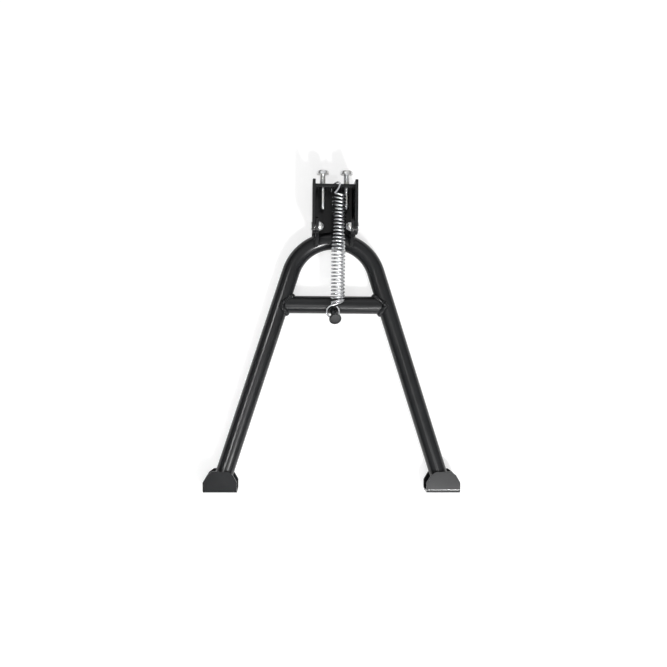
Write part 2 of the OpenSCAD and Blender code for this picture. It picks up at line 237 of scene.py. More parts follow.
def lathe(profile: np.ndarray, origin: np.ndarray, axis: np.ndarray) -> Skin:
    """Turns a profile round an axis.

    Point = origin + height * axis + radius * (cos a * u + sin a * v), where u and v are square
    to the axis.

    Args:
        profile: (radius, height) rows. An end at radius 0 is closed by a pole, and a profile
            whose ends meet makes a ring.
        origin: The point on the axis at height 0.
        axis: Unit direction of the axis.

    Returns:
        The surface, outward.
    """
    origin, axis = np.asarray(origin, float), np.asarray(axis, float)
    u, v = square_pair(axis)
    angle = circle(64)
    spoke = np.cos(angle)[:, None] * u + np.sin(angle)[:, None] * v
    ring_shaped = np.allclose(profile[0], profile[-1])
    rows = profile[:-1] if ring_shaped else profile
    on_axis = rows[:, 0] < 1e-9
    poles = [origin + rows[k, 1] * axis if on_axis[k] else None for k in (0, -1)]
    rows = rows[~on_axis]
    grid = origin + rows[:, 0, None, None] * spoke + rows[:, 1, None, None] * axis
    return grid_skin(grid, ring_shaped, *poles)


def sweep(
    path: np.ndarray, side: np.ndarray, radius: np.ndarray, cols: int, closed: bool = False
) -> Skin:
    """Carries a ring along a path: point = path + radius * (cos a * n + sin a * b).

    n is the side vector made square to the path's heading, and b is heading x n.

    Args:
        path: Points, as rows by 3.
        side: A vector for each point, or one for all, that isn't parallel to the path.
        radius: One for each point, or one for each point and column.
        cols: Points round the ring.
        closed: The path's end joins its start.

    Returns:
        The surface, outward, closed by fans where the path is open. Its pattern vector is the
        length along the path and the cosine and sine of the angle round it.
    """
    if closed:
        heading = unit(np.roll(path, -1, 0) - np.roll(path, 1, 0))
    else:
        heading = unit(np.gradient(path, axis=0))
    side = np.broadcast_to(side, path.shape)
    n = unit(side - heading * np.sum(side * heading, -1, keepdims=True))
    b = np.cross(heading, n)
    angle = circle(cols)
    size = radius.reshape(len(path), -1, 1)
    spoke = np.cos(angle)[None, :, None] * n[:, None] + np.sin(angle)[None, :, None] * b[:, None]
    along = lengths(path)[:, None]
    pattern = np.stack(np.broadcast_arrays(along, np.cos(angle), np.sin(angle)), -1)
    poles = (None, None) if closed else (path[0], path[-1])
    return grid_skin(path[:, None] + size * spoke, closed, *poles, pattern=pattern)


def weld_bead(
    path: np.ndarray, side: np.ndarray, radius: float, pitch: float, closed: bool = False
) -> Skin:
    """A rippled weld along a path.

    The bead's radius rises and falls by an eighth with each ripple, later at the flanks than on
    the crown, and swells and shrinks by three slow waves whose lengths don't match, one of them
    turning round the bead. An open bead narrows to half at its ends.

    Args:
        path: Points of the corner that the bead fills.
        side: Vectors square to the path.
        radius: Middle radius of the bead.
        pitch: Length of one ripple.
        closed: The bead runs round a loop.

    Returns:
        The bead's surface.
    """
    cols = 20
    along = lengths(path)
    whole = along[-1] + (np.linalg.norm(path[0] - path[-1]) if closed else 0)
    count = max(3, round(whole / pitch))
    share = (along / whole)[:, None]
    angle = circle(cols)[None, :]
    phase = TURN * count * share - 1.1 * np.cos(angle) + 0.9 * np.sin(TURN * 5 * share)
    ripple = 0.13 * np.cos(phase) + 0.09 * np.cos(TURN * 3 * share + 1.7)
    ripple += 0.08 * np.cos(TURN * 7 * share + 0.6) * np.cos(angle + TURN * 2 * share)
    ripple += 0.05 * np.cos(TURN * 13 * share + 2 * angle)
    taper = 1.0 if closed else 0.5 + 0.5 * ease(np.minimum(share, 1 - share) * 8)
    return sweep(path, side, radius * (1 + ripple) * taper, cols, closed)


def put(name: str, data: ID) -> Object:
    """Links a new object to the scene, at the origin."""
    obj = bpy.data.objects.new(name, data)
    bpy.context.scene.collection.objects.link(obj)
    return obj


def smooth(mesh: Mesh, sharp: float) -> None:
    """Shades a mesh smooth, apart from edges that turn more than the given angle."""
    mesh.polygons.foreach_set("use_smooth", np.ones(len(mesh.polygons), bool))
    mesh.set_sharp_from_angle(angle=sharp)


def add_mesh(name: str, skin: Skin, sharp_deg: float) -> Object:
    """Puts a skin into a new object at the origin.

    Args:
        name: The object's name.
        skin: The surface.
        sharp_deg: Edges that turn more than this stay sharp.

    Returns:
        The object, linked to the scene.
    """
    mesh = bpy.data.meshes.new(name)
    mesh.from_pydata(skin.points.tolist(), [], skin.quads.tolist() + skin.tris.tolist())
    attribute = mesh.attributes.new("pattern", "FLOAT_VECTOR", "POINT")
    attribute.data.foreach_set("vector", skin.pattern.astype(np.float32).ravel())
    smooth(mesh, math.radians(sharp_deg))
    mesh.update()
    return put(name, mesh)


def eased_copy(
    node: str, edge: float, shift: Callable[[np.ndarray], np.ndarray] | None = None
) -> Object:
    """A copy of a CAD node with its doubles merged and its sharp edges rounded off.

    Args:
        node: The CAD node.
        edge: Width of the rounding.
        shift: Gives the points' new places from their old ones.

    Returns:
        The copy, with its Bevel modifier live.
    """
    bm = bmesh.new()
    bm.from_mesh(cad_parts[node].data)
    bmesh.ops.remove_doubles(bm, verts=bm.verts, dist=MERGE_GAP)
    if shift is not None:
        for vert, place in zip(bm.verts, shift(np.array([v.co for v in bm.verts]))):
            vert.co = place
    bmesh.ops.dissolve_limit(
        bm, angle_limit=FLAT_ANGLE, use_dissolve_boundaries=False, verts=bm.verts, edges=bm.edges
    )
    name = node + "_eased"
    mesh = bpy.data.meshes.new(name)
    bm.to_mesh(mesh)
    bm.free()
    if "custom_normal" in mesh.attributes:
        mesh.attributes.remove(mesh.attributes["custom_normal"])
    smooth(mesh, SHARP_ANGLE)
    obj = put(name, mesh)
    bevel = obj.modifiers.new("edges", "BEVEL")
    bevel.width = edge
    bevel.segments = 2
    bevel.limit_method = "ANGLE"
    bevel.angle_limit = BEVEL_ANGLE
    bevel.use_clamp_overlap = False
    bevel.harden_normals = True
    return obj


# Finishes


class NodeSheet:
    """A material's or the sky's node tree, filled in node by node."""

    def __init__(self, owner: Material | World) -> None:
        """Empties the tree of a material or a sky.

        Args:
            owner: What the tree belongs to.
        """
        owner.use_nodes = True
        self.owner, self.tree = owner, owner.node_tree
        self.tree.nodes.clear()

    def add(self, kind: str, settings: dict | None = None, **inputs: object) -> Node:
        """Adds one node.

        Args:
            kind: The node's type name without ShaderNode.
            settings: Properties of the node itself.
            **inputs: Input sockets by name, with _ for a space, or by number as i0, i1 and so
                on. A socket is linked, and anything else becomes the input's own value.

        Returns:
            The node.
        """
        node = self.tree.nodes.new("ShaderNode" + kind)
        for key, value in (settings or {}).items():
            setattr(node, key, value)
        for key, value in inputs.items():
            numbered = key[0] == "i" and key[1:].isdigit()
            socket = node.inputs[int(key[1:])] if numbered else node.inputs[key.replace("_", " ")]
            if isinstance(value, Socket):
                self.tree.links.new(value, socket)
            else:
                socket.default_value = value
        return node

    def place(self) -> Socket:
        """Object coordinates, the same in every pose."""
        return self.add("TexCoord").outputs["Object"]

    def noise(self, where: Socket, scale: float, detail: float) -> Socket:
        """Noise between 0 and 1, scale cells to the metre, with detail finer layers on top."""
        node = self.add("TexNoise", Vector=where, Scale=scale, Detail=detail, Roughness=0.55)
        return node.outputs[0]

    def span(self, value: Socket, source: tuple, target: tuple = (0.0, 1.0)) -> Socket:
        """A value mapped from the source range to the target range and held inside it."""
        (a, b), (c, d) = source, target
        return self.add("MapRange", i0=value, i1=a, i2=b, i3=c, i4=d).outputs[0]

    def mix(self, share: Socket, low: object, high: object) -> Socket:
        """A number between two, given as values or sockets. At share 0 it is the low one."""
        return self.add("Mix", i0=share, i2=low, i3=high).outputs[0]

    def tint(self, share: Socket, low: object, high: object) -> Socket:
        """A colour between two, given as values or sockets. At share 0 it is the low one."""
        return self.add("Mix", {"data_type": "RGBA"}, i0=share, i6=low, i7=high).outputs[2]

    def edge_share(self, radius: float) -> Socket:
        """How strongly a spot lies on an outer or inner edge: one less the cosine between the
        surface's normal and the normal averaged over the radius.

        Args:
            radius: Reach of the average.

        Returns:
            A share from 0 on flats to 1 on edges.
        """
        soft = self.add("Bevel", {"samples": 6}, Radius=radius).outputs[0]
        plain = self.add("NewGeometry").outputs["Normal"]
        turn = self.add("VectorMath", {"operation": "DOT_PRODUCT"}, i0=soft, i1=plain)
        return self.span(turn.outputs["Value"], (0.995, 0.85))

    def finish(self, shader: Node) -> Material:
        """Ends the tree with the given shader and returns the material."""
        self.add("OutputMaterial", Surface=shader.outputs[0])
        return self.owner


@dataclass(frozen=True)
class PowderCoat:
    """Semi-gloss black powder coat: fine orange peel, soft gloss changes and thin, light edges."""

    name: str = "black_powder_coat"
    colour: tuple = (0.0085, 0.009, 0.0098, 1.0)
    paler: tuple = (0.011475, 0.01215, 0.01323, 1.0)
    edge_colour: tuple = (0.032, 0.032, 0.034, 1.0)
    gloss: tuple = (0.17, 0.25)
    specular: float = 0.32
    patch_cells: float = 55.0
    peel_cells: float = 1000.0
    grit_cells: float = 4200.0
    grit_share: float = 0.25
    peel_height: float = 0.022 * MM
    edge_reach: float = 0.5 * MM

    def material(self) -> Material:
        """Builds the node material.

        Returns:
            The material.
        """
        sheet = NodeSheet(bpy.data.materials.new(self.name))
        place = sheet.place()
        wide = sheet.noise(place, self.patch_cells, 3.0)
        fine = sheet.noise(place, self.peel_cells, 2.0)
        grit = sheet.noise(place, self.grit_cells, 1.0)
        edge = sheet.edge_share(self.edge_reach)
        base = sheet.tint(sheet.span(wide, (0.3, 0.7)), self.colour, self.paler)
        worn = sheet.tint(edge, base, self.edge_colour)
        rough = sheet.span(wide, (0.3, 0.7), self.gloss)
        sums = {"operation": "MULTIPLY_ADD"}
        height = sheet.add("Math", sums, i0=grit, i1=self.grit_share, i2=fine).outputs[0]
        bump = sheet.add("Bump", Strength=0.55, Distance=self.peel_height, Height=height).outputs[0]
        return sheet.finish(sheet.add(
            "BsdfPrincipled", Base_Color=worn, Roughness=rough, Normal=bump, IOR=1.5,
            Specular_IOR_Level=self.specular,
        ))


@dataclass(frozen=True)
class ZincPlate:
    """Bright zinc plate: silver with a faint warm and blue cast, fine scuffs and dull patches."""

    name: str = "bright_zinc"
    silver: tuple = (0.78, 0.79, 0.81, 1.0)
    warm: tuple = (0.76, 0.755, 0.72, 1.0)
    gloss: tuple = (0.16, 0.3)
    cast_cells: float = 240.0
    scuff_cells: float = 2600.0
    scuff_height: float = 0.02 * MM

    def material(self) -> Material:
        """Builds the node material.

        Returns:
            The material.
        """
        sheet = NodeSheet(bpy.data.materials.new(self.name))
        place = sheet.place()
        cast = sheet.noise(place, self.cast_cells, 2.0)
        scuff = sheet.noise(place, self.scuff_cells, 4.0)
        colour = sheet.tint(sheet.span(cast, (0.35, 0.7)), self.silver, self.warm)
        rough = sheet.span(scuff, (0.3, 0.75), self.gloss)
        bump = sheet.add("Bump", Strength=0.3, Distance=self.scuff_height, Height=scuff).outputs[0]
        return sheet.finish(sheet.add(
            "BsdfPrincipled", Base_Color=colour, Metallic=1.0, Roughness=rough, Normal=bump
        ))


@dataclass(frozen=True)
class SpringWire:
    """Bright drawn wire: fine die lines that run along the wire, and small dull spots."""

    name: str = "spring_wire"
    silver: tuple = (0.8, 0.81, 0.83, 1.0)
    dull: tuple = (0.6, 0.61, 0.62, 1.0)
    gloss: tuple = (0.12, 0.22)
    squeeze: tuple = (45.0, 5.0, 5.0)
    line_cells: float = 2.4
    spot_cells: float = 900.0
    line_height: float = 0.015 * MM

    def material(self) -> Material:
        """Builds the node material. The pattern vector is the length along the wire and the
        cosine and sine round it, so noise that is squeezed along the wire draws die lines.

        Returns:
            The material.
        """
        sheet = NodeSheet(bpy.data.materials.new(self.name))
        where = sheet.add("Attribute", {"attribute_name": "pattern"}).outputs["Vector"]
        drawn = sheet.add("Mapping", Vector=where, Scale=self.squeeze).outputs[0]
        lines = sheet.noise(drawn, self.line_cells, 4.0)
        spots = sheet.noise(sheet.place(), self.spot_cells, 3.0)
        colour = sheet.tint(sheet.span(spots, (0.5, 0.75)), self.silver, self.dull)
        rough = sheet.span(lines, (0.3, 0.7), self.gloss)
        bump = sheet.add("Bump", Strength=0.35, Distance=self.line_height, Height=lines).outputs[0]
        return sheet.finish(sheet.add(
            "BsdfPrincipled", Base_Color=colour, Metallic=1.0, Roughness=rough, Normal=bump
        ))


@dataclass(frozen=True)
class Paper:
    """White studio paper. Camera and glass rays see it nearly white, with the stand's soft shadow
    left on it, and mirror rays see it half way between that and its own lit colour. Its back is
    clear so that it never hides the stand."""

    name: str = "studio_paper"
    glow: float = 0.7
    catch: float = 0.4
    mirror_share: float = 0.45

    def material(self) -> Material:
        """Builds the node material.

        Returns:
            The material.
        """
        sheet = NodeSheet(bpy.data.materials.new(self.name))
        path = sheet.add("LightPath").outputs
        seen = path["Is Camera Ray"]
        for ray, share in (("Is Glossy Ray", self.mirror_share), ("Is Transmission Ray", 1.0)):
            part = sheet.add("Math", {"operation": "MULTIPLY"}, i0=path[ray], i1=share).outputs[0]
            seen = sheet.add("Math", {"operation": "MAXIMUM"}, i0=seen, i1=part).outputs[0]
        catch = sheet.add("BsdfDiffuse", Color=(self.catch, self.catch, self.catch, 1.0)).outputs[0]
        glow = sheet.add("Emission", Strength=self.glow).outputs[0]
        lit = sheet.add("AddShader", i0=catch, i1=glow).outputs[0]
        plain = sheet.add("BsdfDiffuse", Color=(0.8, 0.8, 0.8, 1.0)).outputs[0]
        front = sheet.add("MixShader", i0=seen, i1=plain, i2=lit).outputs[0]
        clear = sheet.add("BsdfTransparent").outputs[0]
        back = sheet.add("NewGeometry").outputs["Backfacing"]
        return sheet.finish(sheet.add("MixShader", i0=back, i1=front, i2=clear))


def make_finishes() -> dict[Slot, Material]:
    """Builds the finish of each slot once."""
    return {
        Slot.COAT: PowderCoat().material(),
        Slot.ZINC: ZincPlate().material(),
        Slot.WIRE: SpringWire().material(),
    }


# Pieces


@dataclass
class Assembly:
    """A sub-assembly. Its pieces ride on one body and share one slot's finish."""

    finishes: dict[Slot, Material]
    body: ClassVar[Body] = Body.BRACKET
    slot: ClassVar[Slot] = Slot.COAT

    def settle(self, obj: Object, *stands_for: str) -> Object:
        """Dresses a piece and ties it to the frame.

        Args:
            obj: The piece.
            *stands_for: CAD nodes that it replaces.

        Returns:
            The same piece.
        """
        obj.data.materials.clear()
        obj.data.materials.append(self.finishes[self.slot])
        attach(obj, self.body.value)
        if stands_for:
            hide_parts(*stands_for)
        LOG.info("%s: %d faces on %s", obj.name, len(obj.data.polygons), self.body.value)
        return obj

    def add(self, name: str, skin: Skin, sharp_deg: float, *stands_for: str) -> Object:
        """Makes a new piece of a skin and settles it."""
        return self.settle(add_mesh(name, skin, sharp_deg), *stands_for)


@dataclass
class LegFrame(Assembly):
    """The bent tube, its crossbar, ears, shoes and the welds between them."""

    body: ClassVar[Body] = Body.LEGS
    tube_r: float = 9 * MM
    wall: float = 2 * MM
    back: float = BAR_Y
    arch_r: float = 45.5 * MM
    arch_drop: float = 100.4 * MM
    splay: float = math.radians(17.8)
    sole: float = -306.5 * MM
    ear_in: float = 16.2 * MM
    ear_t: float = 3 * MM
    edge: float = 0.35 * MM
    bar_sunk: float = 0.5 * MM
    bar_bead: tuple = (2.9 * MM, 1.9 * MM)
    bar_bead_sunk: tuple = (0.4 * MM, 0.6 * MM)
    ear_bead: tuple = (1.5 * MM, 1.5 * MM)
    ear_bead_deg: tuple = (101, 197)

    def leg_x(self, z: np.ndarray | float) -> np.ndarray | float:
        """Distance of a leg's axis from the middle at height z."""
        return self.arch_r / math.cos(self.splay) + (-self.arch_drop - z) * math.tan(self.splay)

    def tube_rings(self, radius: float) -> np.ndarray:
        """Rings of a bent tube from the left sole over the crown to the right sole.

        On the arch, at angle a from the top, a ring is centre + radius * (cos b * (sin a, 0,
        cos a) + sin b * (0, -1, 0)). Each leg slides the arch's last ring along the leg until
        every point stands on the sole's level.

        Args:
            radius: Radius of the ring.

        Returns:
            Points, as rings by columns by 3.
        """
        sweep_a = math.pi / 2 - self.splay
        a = np.linspace(-sweep_a, sweep_a, 97)[:, None]
        b = circle(96)[None, :]
        reach = self.arch_r + radius * np.cos(b)
        y = self.back - radius * np.sin(b) + 0 * a
        arch = np.stack([reach * np.sin(a), y, reach * np.cos(a) - self.arch_drop], -1)
        t = np.linspace(0, 1, 15)[1:, None, None]
        legs = []
        for side, ring in ((-1, arch[0]), (1, arch[-1])):
            along = np.array([side * math.sin(self.splay), 0, -math.cos(self.splay)])
            length = (ring[:, 2] - self.sole) / math.cos(self.splay)
            legs.append(ring + t * length[None, :, None] * along)
        return np.concatenate([legs[0][::-1], arch, legs[1]])

    def build_tube(self) -> None:
        """The bent tube: outer rings there and inner rings back, joined at both soles."""
        outer, inner = self.tube_rings(self.tube_r), self.tube_rings(self.tube_r - self.wall)
        skin = grid_skin(np.concatenate([outer, inner[::-1]]), wrap_rows=True)
        self.add("bent_tube", skin, 40, "leg_tube")

    def bar_end(self, angle: np.ndarray, radius: float, sunk: float = 0.0) -> np.ndarray:
        """Where the crossbar's surface line at each angle meets a leg of the given radius.

        The leg's surface lies at leg_x(z) less the square root of radius squared less y squared,
        divided by the cosine of the splay.

        Args:
            angle: Angles round the crossbar, from the back upwards.
            radius: Radius of the leg.
            sunk: How far inside the crossbar's surface the line runs.

        Returns:
            Points on the right leg.
        """
        bar = BAR_R - sunk
        y, z = bar * np.cos(angle), BAR_Z + bar * np.sin(angle)
        gap = np.sqrt(np.maximum(radius**2 - y**2, 0)) / math.cos(self.splay)
        return np.stack([self.leg_x(z) - gap, self.back + y, z], -1)

    def build_crossbar(self) -> None:
        """The crossbar: straight lines between the two coped ends, and a weld round each end."""
        right = self.bar_end(circle(96), self.tube_r - self.bar_sunk)
        left = right * [-1, 1, 1]
        t = np.linspace(0, 1, 9)[:, None, None]
        middle = np.array([self.leg_x(BAR_Z) - self.tube_r, self.back, BAR_Z])
        poles = {"first_pole": middle * [-1, 1, 1], "last_pole": middle}
        skin = grid_skin(left * (1 - t) + right * t, **poles)
        self.add("cross_tube", skin, 40, "crossbar")
        fine = circle(360)
        in_leg, in_bar = self.bar_bead_sunk
        side = np.stack([0 * fine, np.cos(fine), np.sin(fine)], -1)
        for which in Side:
            loop = self.bar_end(fine, self.tube_r - in_leg, in_bar) * [which.value, 1, 1]
            bead = weld_bead(loop, side, *self.bar_bead, closed=True)
            self.add(f"crossbar_weld_{which.name.lower()}", bead, 60)

    def build_ears(self) -> None:
        """The two ears, and a weld down each face where they meet the arch.

        A face at distance x meets the arch where the ring angle b gives y = back + r cos b and
        z = -drop + square root of ((arch_r + r sin b) squared less x squared).
        """
        b = np.radians(np.linspace(*self.ear_bead_deg, 90))
        r = self.tube_r
        side = np.stack([0 * b, np.cos(b), np.sin(b)], -1)
        for which in Side:
            tag = which.name.lower()
            self.settle(eased_copy(f"yoke_ear_{tag}", self.edge), f"yoke_ear_{tag}")
            for face, x in (("inner", self.ear_in), ("outer", self.ear_in + self.ear_t)):
                z = -self.arch_drop + np.sqrt((self.arch_r + r * np.sin(b)) ** 2 - x**2)
                line = np.stack([0 * b + x, self.back + r * np.cos(b), z], -1)
                bead = weld_bead(line * [which.value, 1, 1], side, *self.ear_bead)
                self.add(f"ear_weld_{tag}_{face}", bead, 60)

    def build_shoes(self) -> None:
        """The two folded shoes."""
        for which in Side:
            node = f"foot_{which.name.lower()}"
            self.settle(eased_copy(node, self.edge), node)

    def build(self) -> None:
        """Builds the leg frame's pieces."""
        self.build_tube()
        self.build_crossbar()
        self.build_ears()
        self.build_shoes()


@dataclass
class SpringPeg(Assembly):
    """The headed peg on the crossbar that holds the spring's bottom eye."""

    body: ClassVar[Body] = Body.LEGS
    head_r: float = 6.15 * MM
    head_t: float = 2.5 * MM
    reach: float = 24.3 * MM
    sunk: float = 1.5 * MM
    rounding: float = 0.7 * MM
    bead: tuple = (1.2 * MM, 1.4 * MM)

    def axis(self) -> np.ndarray:
        """The peg's direction: leaned to the right, forward and pitched down."""
        y, z = -math.cos(PEG_PITCH), -math.sin(PEG_PITCH)
        return np.array([math.sin(PEG_LEAN), math.cos(PEG_LEAN) * y, math.cos(PEG_LEAN) * z])

    def build(self) -> None:
        """The turned peg, and a weld round its foot.

        At angle a the weld starts where root + s * axis + spoke(a) lies on the crossbar, which
        gives s from a quadratic in the distance from the crossbar's axis.
        """
        axis, root = self.axis(), np.array(PEG_ROOT)
        start, neck = BAR_R - self.sunk, self.reach - self.head_t / 2
        face = neck + self.head_t
        corners = [(0, start), (PEG_R, start), (PEG_R, neck)]
        corners += [(self.head_r, neck), (self.head_r, face), (0, face)]
        profile = rounded(corners, self.rounding)
        self.add("headed_peg", lathe(profile, root, axis), 40, "spring_peg")
        u, v = square_pair(axis)
        angle = circle(120)
        spoke = np.cos(angle)[:, None] * u + np.sin(angle)[:, None] * v
        near = PEG_R * spoke
        a, b = axis[1:] @ axis[1:], near[:, 1:] @ axis[1:]
        c = np.sum(near[:, 1:] ** 2, 1) - BAR_R**2
        s = (-b + np.sqrt(b * b - a * c)) / a
        loop = root + near + s[:, None] * axis
        self.add("peg_weld", weld_bead(loop, spoke, *self.bead, closed=True), 60)


@dataclass
class ClampBolt(Assembly):
    """A pan-head machine bolt with a cross recess and a full thread."""

    slot: ClassVar[Slot] = Slot.ZINC
    turn_deg: ClassVar[dict[Side, float]] = {Side.LEFT: 17, Side.RIGHT: 52}
    side: Side
    spacing: float = 24 * MM
    under_head: float = 10.7 * MM
    length: float = 35 * MM
    major_r: float = 3 * MM
    thread_pitch: float = 1 * MM
    thread_depth: float = 0.58 * MM
    thread_slack: float = 0.04 * MM
    thread_fade: float = 1.5 * MM
    thread_top: float = 0.3 * MM
    tip_r: float = 2.2 * MM
    head_r: float = 6.2 * MM
    head_h: float = 4.6 * MM
    crown: float = 0.25 * MM
    rim: tuple = (2.3 * MM, 2.05 * MM)
    chamfer: float = 0.15 * MM
    recess_r: float = 3 * MM
    recess_w: float = 1.25 * MM
    recess_wall: float = 0.22 * MM
    recess_depth: float = 2.1 * MM

    def head(self) -> Skin:
        """The head: rings from the middle out over the crown, down the rim and under.

        The crown is a gentle dome with a round rim. The recess takes from its height the larger
        of two crossed wings, each full at the middle, shallower to its tip and steep-walled.

        Returns:
            The head's surface.
        """
        angle = circle(144)
        out, down = self.rim
        flat_r = self.head_r - out
        inner = np.linspace(0.05 * MM, flat_r, 34)
        bend = np.linspace(0, math.pi / 2, 12)[1:]
        under = [self.head_r, self.head_r, self.head_r - self.chamfer, self.major_r - 0.4 * MM]
        reach = np.concatenate([inner, flat_r + out * np.sin(bend), under])
        dome = self.crown * (1 - (inner / flat_r) ** 2) - self.crown
        fall = self.head_h - self.crown - down * (1 - np.cos(bend))
        height = np.concatenate([self.head_h + dome, fall, [0.4 * MM, self.chamfer, 0, 0]])
        x, y = reach[:, None] * np.cos(angle), reach[:, None] * np.sin(angle)
        wings = [
            np.sqrt(np.clip(1 - np.abs(p) / self.recess_r, 0, 1))
            * ease((self.recess_w / 2 - np.abs(q)) / self.recess_wall + 0.5)
            for p, q in ((x, y), (y, x))
        ]
        cut = self.recess_depth * np.maximum(*wings) * (height > self.head_h / 2)[:, None]
        grid = np.stack([x, y, height[:, None] - cut], -1)
        top = np.array([0, 0, self.head_h - self.recess_depth])
        return grid_skin(grid, first_pole=top, last_pole=np.zeros(3))

    def thread(self) -> Skin:
        """The threaded shank: radius = major radius less depth times a clipped triangle wave of
        height / pitch + angle / turn, which fades under the head and narrows to a chamfered tip.

        Returns:
            The shank's surface.
        """
        z = np.linspace(-self.length, self.thread_top, 424)[:, None]
        turn = (np.arange(40) / 40)[None, :]
        wave = np.abs(2 * np.mod(z / self.thread_pitch - turn, 1) - 1)
        flank = np.clip((wave - 0.12) / 0.74, 0, 1)
        depth = self.thread_depth * flank * ease(-z / self.thread_fade)
        tip = self.tip_r + (z + self.length)
        r = np.minimum(self.major_r - self.thread_slack - depth, tip)
        angle = turn * TURN
        grid = np.stack([r * np.cos(angle), r * np.sin(angle), z + 0 * angle], -1)
        ends = np.array([[0, 0, -self.length], [0, 0, self.thread_top]])
        return grid_skin(grid, False, *ends)

    def build(self) -> None:
        """The head and the shank as one piece, turned a little about the bolt's axis."""
        skin = Skin.join([self.head(), self.thread()])
        spin = np.array(Matrix.Rotation(math.radians(self.turn_deg[self.side]), 3, "Z"))
        place = np.array([self.side.value * self.spacing / 2, 0, self.under_head])
        skin = replace(skin, points=skin.points @ spin.T + place)
        tag = self.side.name.lower()
        self.add(f"pan_bolt_{tag}", skin, 32, f"clamp_bolt_{tag}")


@dataclass
class PivotRivet(Assembly):
    """A rivet with a round inner head and a flat outer head, and the washer under it."""

    slot: ClassVar[Slot] = Slot.ZINC
    side: Side
    pivot: tuple = (-14 * MM, -43 * MM)
    shank_r: float = 3 * MM
    head_r: float = 4.5 * MM
    head_h: float = 4.35 * MM
    cap_r: float = 4 * MM
    cap_h: float = 1.2 * MM
    cap_rounding: float = 0.45 * MM
    washer_r: float = 5 * MM
    washer_t: float = 1 * MM
    washer_x: float = 15.15 * MM
    washer_gap: float = 0.08 * MM
    washer_rounding: float = 0.2 * MM
    wall_x: float = 22.5 * MM

    def build(self) -> None:
        """The rivet, turned from its dome outwards, and the washer as a turned ring.

        The dome's profile is a cap of the sphere whose radius is (head_r squared + head_h
        squared) / (2 head_h).
        """
        s = self.side.value
        axis = np.array([s, 0, 0])
        origin = np.array([0, *self.pivot])
        ball = (self.head_r**2 + self.head_h**2) / (2 * self.head_h)
        open_a = math.acos((ball - self.head_h) / ball)
        a = np.linspace(0, open_a, 26)
        tip = self.washer_x - self.head_h
        dome = np.stack([ball * np.sin(a), tip + ball * (1 - np.cos(a))], -1)
        end = self.wall_x + self.cap_h
        corners = [(self.shank_r, self.washer_x), (self.shank_r, self.wall_x)]
        corners += [(self.cap_r, self.wall_x), (self.cap_r, end), (0, end)]
        cap = rounded(corners, self.cap_rounding)
        tag = self.side.name.lower()
        skin = lathe(np.concatenate([dome, cap]), origin, axis)
        self.add(f"dome_rivet_{tag}", skin, 40, f"pivot_rivet_{tag}")
        inner, x0, x1 = self.shank_r + self.washer_gap, self.washer_x, self.washer_x + self.washer_t
        middle = (inner + self.washer_r) / 2
        corners = [(middle, x0), (self.washer_r, x0), (self.washer_r, x1)]
        corners += [(inner, x1), (inner, x0), (middle, x0)]
        ring = rounded(corners, self.washer_rounding)
        self.add(f"ring_washer_{tag}", lathe(ring, origin, axis), 40, f"pivot_washer_{tag}")


@dataclass
class MountBracket(Assembly):
    """The folded bracket with its seat plate, bolts and rivets."""

    half_in: float = 19.5 * MM
    plate_under: float = -3.5 * MM
    edge: float = 0.4 * MM
    hook_hole: tuple = (-1.6 * MM, -3.7 * MM)
    hook_hole_r: float = 2.9 * MM
    hook_room: tuple = (4.3 * MM, -0.5 * MM)
    plate_bead: tuple = (1.4 * MM, 1.6 * MM)
    plate_bead_y: tuple = (-8 * MM, 13 * MM)

    def slotted(self, points: np.ndarray) -> np.ndarray:
        """Makes the spring's hole a short slot, which gives the eye room when the stand folds.

        Points on the hole's wall, right of its middle, move by the hook room, and the rest stay.

        Args:
            points: The plate's points.

        Returns:
            Their new places.
        """
        from_middle = points[:, :2] - self.hook_hole
        on_wall = np.abs(np.linalg.norm(from_middle, axis=1) - self.hook_hole_r) < 0.1 * MM
        moves = on_wall & (from_middle[:, 0] > 0)
        return points + moves[:, None] * np.array([*self.hook_room, 0])

    def build(self) -> None:
        """Eased copies of bracket and plate, the welds under the plate, and the fasteners."""
        for node, shift in (("mount_bracket", None), ("saddle_plate", self.slotted)):
            self.settle(eased_copy(node, self.edge, shift), node)
        y = np.linspace(*self.plate_bead_y, 120)
        for side in Side:
            line = np.stack([0 * y + side.value * self.half_in, y, 0 * y + self.plate_under], -1)
            bead = weld_bead(line, np.array([1.0, 0, 0]), *self.plate_bead)
            self.add(f"plate_weld_{side.name.lower()}", bead, 60)
            ClampBolt(self.finishes, side).build()
            PivotRivet(self.finishes, side).build()


